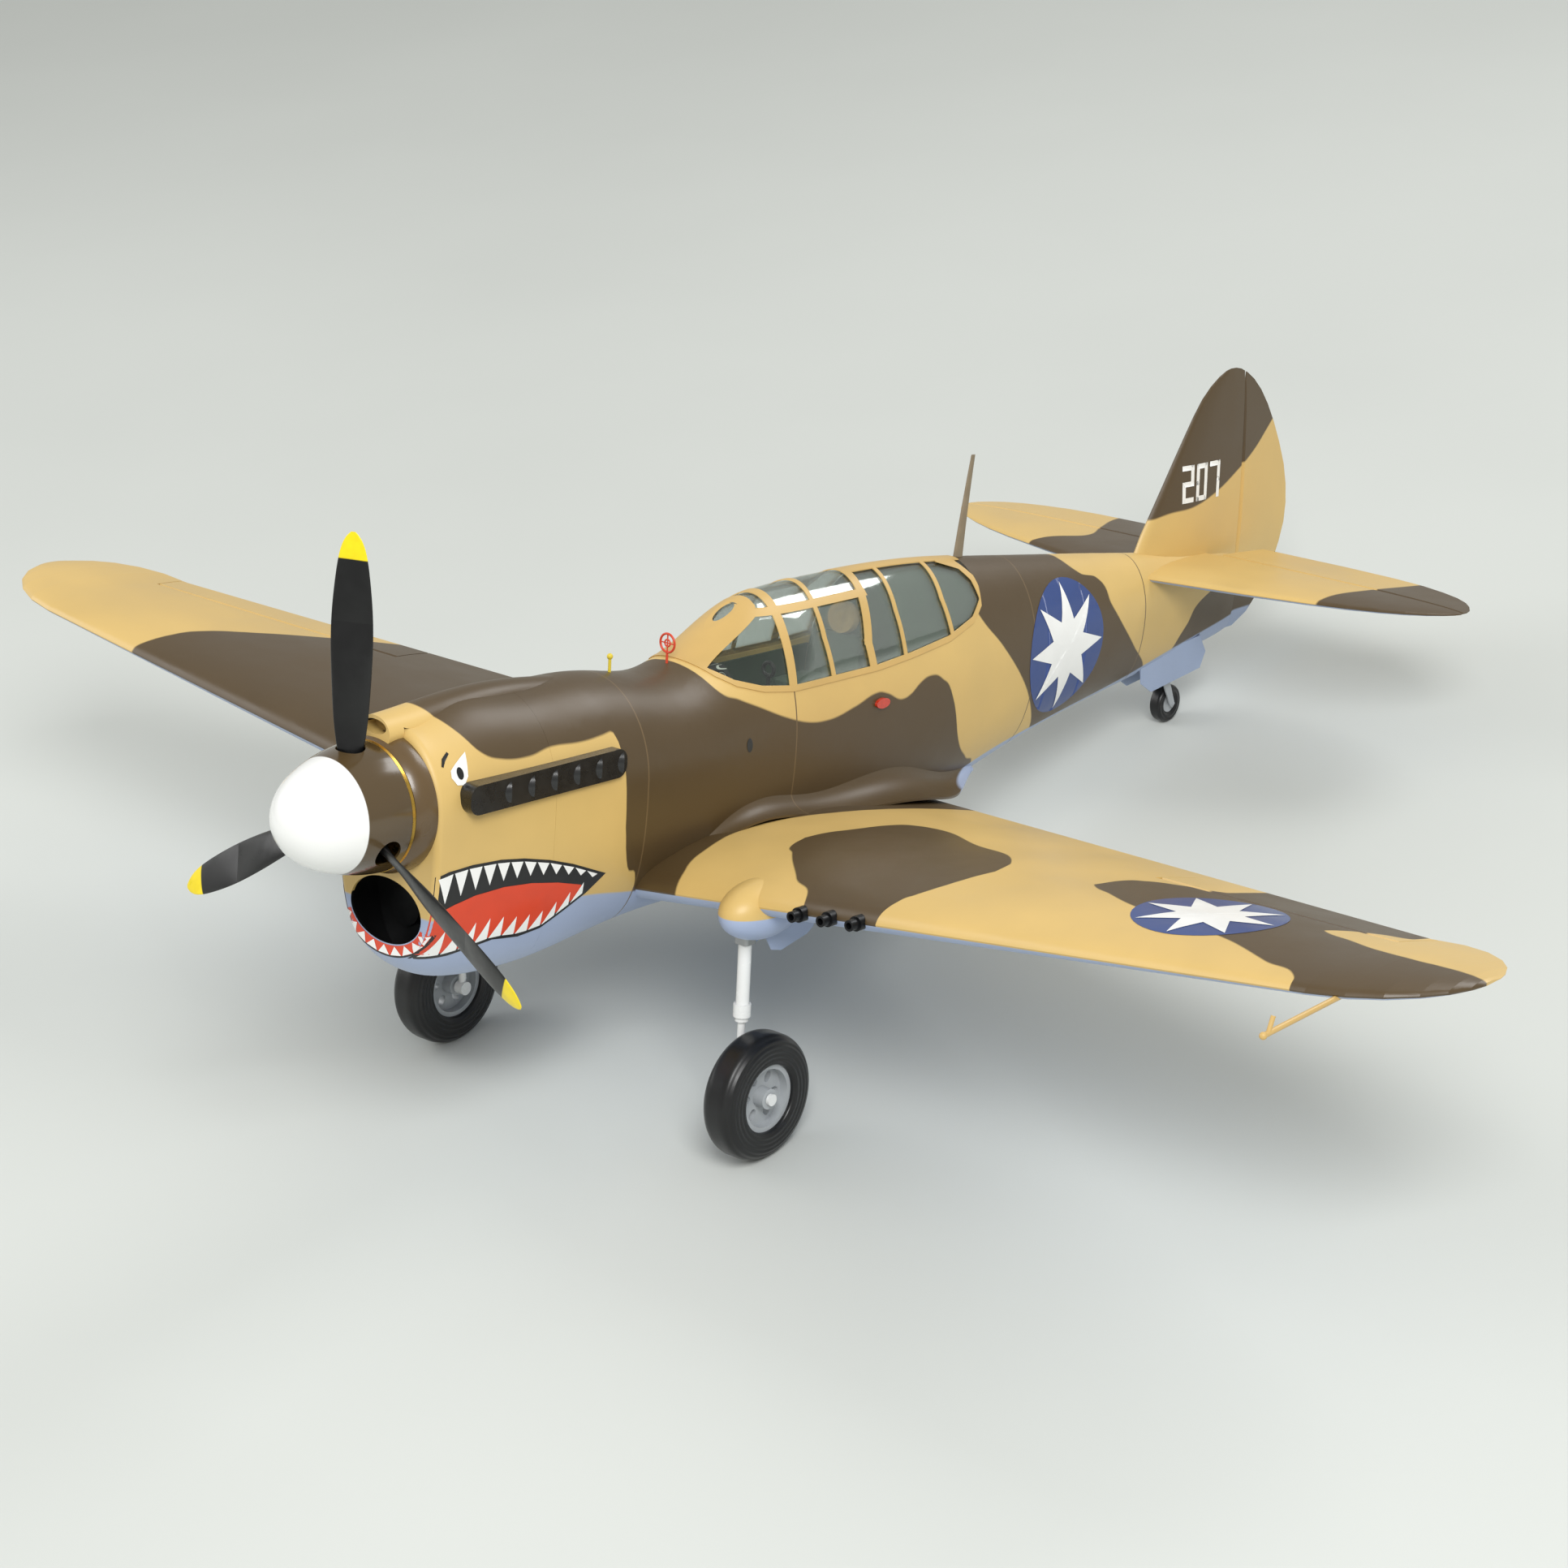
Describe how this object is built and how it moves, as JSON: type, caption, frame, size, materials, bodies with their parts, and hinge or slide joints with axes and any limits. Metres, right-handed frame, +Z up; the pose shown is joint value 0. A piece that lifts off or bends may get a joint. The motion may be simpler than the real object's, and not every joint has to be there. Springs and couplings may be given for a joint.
{
  "type": "radio-controlled model warbird aeroplane",
  "caption": "Radio-controlled low-wing warbird with a three-blade propeller, folding wheels, working control surfaces and a framed canopy.",
  "frame": {"origin": "on the ground below the middle of the aeroplane's outline as it stands on its three wheels", "axes": "+X to the port wing tip, -Y to the nose, +Z up"},
  "size_m": [1.61, 1.345, 0.5842],
  "materials": {
    "skin_paint": "painted balsa sheet, two-tone desert pattern, satin",
    "cowl_paint": "painted glass-fibre, satin",
    "spinner_white": "white, gloss",
    "metal_plate": "turned",
    "prop_black": "glass-filled nylon, yellow tips",
    "steel": "bright",
    "engine_alloy": "cast and machined",
    "black_plastic": "moulded",
    "glazing": "clear vacuum-formed",
    "cockpit_green": "flat dark green",
    "leather_tan": "tan padding",
    "plywood": "birch plywood",
    "balsa": "balsa sheet",
    "stack_black": "flat heat-proof black",
    "gun_metal": "dark",
    "leg_white": "white enamel",
    "tyre_rubber": "semi-gloss black",
    "hub_grey": "light grey moulded",
    "door_blue": "light blue-grey, satin",
    "lamp_red": "red lens",
    "tank_plastic": "translucent polythene",
    "battery_green": "shrink sleeve"
  },
  "bodies": {
    "airframe": {"wing_left": "skin_paint", "wing_right": "skin_paint", "stabilizer": "skin_paint", "fin": "skin_paint", "fuselage_shell": "skin_paint", "belly_pan": "skin_paint", "nose_cowl": "cowl_paint", "nose_ring": "cowl_paint", "carb_scoop": "cowl_paint", "canopy_glass": "glazing", "canopy_frames": "cowl_paint", "cockpit_tub": "cockpit_green", "instrument_panel": "cockpit_green", "pilot_seat": "cockpit_green", "seat_headrest": "leather_tan", "control_stick": "black_plastic", "muffler": "engine_alloy", "engine_mount": "black_plastic", "radiator_insert": "stack_black", "fuel_tank": "tank_plastic", "fuselage_formers": "plywood", "servos": "black_plastic", "battery_pack": "battery_green", "receiver": "black_plastic", "wing_spars": "balsa", "wing_ribs": "balsa", "wheel_wells": "black_plastic", "aileron_servos": "black_plastic", "root_fillets": "skin_paint", "gear_fairings": "cowl_paint", "gear_doors": "door_blue", "retract_units": "engine_alloy", "tail_doors": "door_blue", "wing_guns": "gun_metal", "exhausts": "stack_black", "antenna_mast": "cowl_paint", "gun_sights": "gun_metal", "side_lights": "lamp_red", "pitot_tube": "cowl_paint", "rear_deck": "cockpit_green", "engine": "engine_alloy"},
    "propeller": {"spinner": "spinner_white", "spinner_backplate": "metal_plate", "propeller": "prop_black", "crankshaft": "steel"},
    "aileron_left": {"aileron_left": "skin_paint"},
    "aileron_right": {"aileron_right": "skin_paint"},
    "elevator": {"elevator": "skin_paint"},
    "rudder": {"rudder": "skin_paint"},
    "tail_gear": {"tail_fork": "steel"},
    "tail_wheel": {"tail_tyre": "tyre_rubber", "tail_hub": "hub_grey"},
    "retract_left": {"trunnion_left": "engine_alloy"},
    "leg_left": {"leg_left": "leg_white"},
    "wheel_left": {"tyre_left": "tyre_rubber", "hub_left": "hub_grey"},
    "retract_right": {"trunnion_right": "engine_alloy"},
    "leg_right": {"leg_right": "leg_white"},
    "wheel_right": {"tyre_right": "tyre_rubber", "hub_right": "hub_grey"}
  },
  "joints": [
    {"name": "propeller_spin", "type": "hinge", "parent": "airframe", "child": "propeller", "pos_m": [0, -0.57424, 0.36286], "axis": [0, 0.9748, -0.2233], "continuous": true},
    {"name": "aileron_left_hinge", "type": "hinge", "parent": "airframe", "child": "aileron_left", "pos_m": [0.44, -0.16484, 0.21504], "axis": [0.9595, -0.2186, 0.178], "range_deg": [-20, 20]},
    {"name": "aileron_right_hinge", "type": "hinge", "parent": "airframe", "child": "aileron_right", "pos_m": [-0.44, -0.16484, 0.21504], "axis": [0.9595, 0.2186, -0.178], "range_deg": [-20, 20]},
    {"name": "elevator_hinge", "type": "hinge", "parent": "airframe", "child": "elevator", "pos_m": [0, 0.52358, 0.14836], "axis": [1, 0, 0], "range_deg": [-22, 22]},
    {"name": "rudder_hinge", "type": "hinge", "parent": "airframe", "child": "rudder", "pos_m": [0, 0.57768, 0.16059], "axis": [0, 0.2233, 0.9748], "range_deg": [-25, 25]},
    {"name": "tail_steer", "type": "hinge", "parent": "airframe", "child": "tail_gear", "pos_m": [0, 0.44366, 0.06818], "axis": [0, 0.2233, 0.9748], "range_deg": [-25, 25]},
    {"name": "tail_wheel_spin", "type": "hinge", "parent": "tail_gear", "child": "tail_wheel", "pos_m": [0, 0.44676, 0.019], "axis": [1, 0, 0], "continuous": true},
    {"name": "retract_left_hinge", "type": "hinge", "parent": "airframe", "child": "retract_left", "pos_m": [0.162, -0.35029, 0.18949], "axis": [1, 0, 0], "range_deg": [0, 90]},
    {"name": "leg_left_twist", "type": "hinge", "parent": "retract_left", "child": "leg_left", "pos_m": [0.162, -0.36369, 0.13101], "axis": [0, 0.2233, 0.9748], "range_deg": [0, 90]},
    {"name": "wheel_left_spin", "type": "hinge", "parent": "leg_left", "child": "wheel_left", "pos_m": [0.182, -0.38133, 0.054], "axis": [1, 0, 0], "continuous": true},
    {"name": "retract_right_hinge", "type": "hinge", "parent": "airframe", "child": "retract_right", "pos_m": [-0.162, -0.35029, 0.18949], "axis": [1, 0, 0], "range_deg": [0, 90]},
    {"name": "leg_right_twist", "type": "hinge", "parent": "retract_right", "child": "leg_right", "pos_m": [-0.162, -0.36369, 0.13101], "axis": [0, 0.2233, 0.9748], "range_deg": [-90, 0]},
    {"name": "wheel_right_spin", "type": "hinge", "parent": "leg_right", "child": "wheel_right", "pos_m": [-0.182, -0.38133, 0.054], "axis": [1, 0, 0], "continuous": true}
  ],
  "couplings": [
    {"joint": "aileron_right_hinge", "follows": "aileron_left_hinge", "ratio": -1},
    {"joint": "tail_steer", "follows": "rudder_hinge", "ratio": 1},
    {"joint": "retract_right_hinge", "follows": "retract_left_hinge", "ratio": 1},
    {"joint": "leg_left_twist", "follows": "retract_left_hinge", "ratio": 1},
    {"joint": "leg_right_twist", "follows": "retract_left_hinge", "ratio": -1}
  ]
}
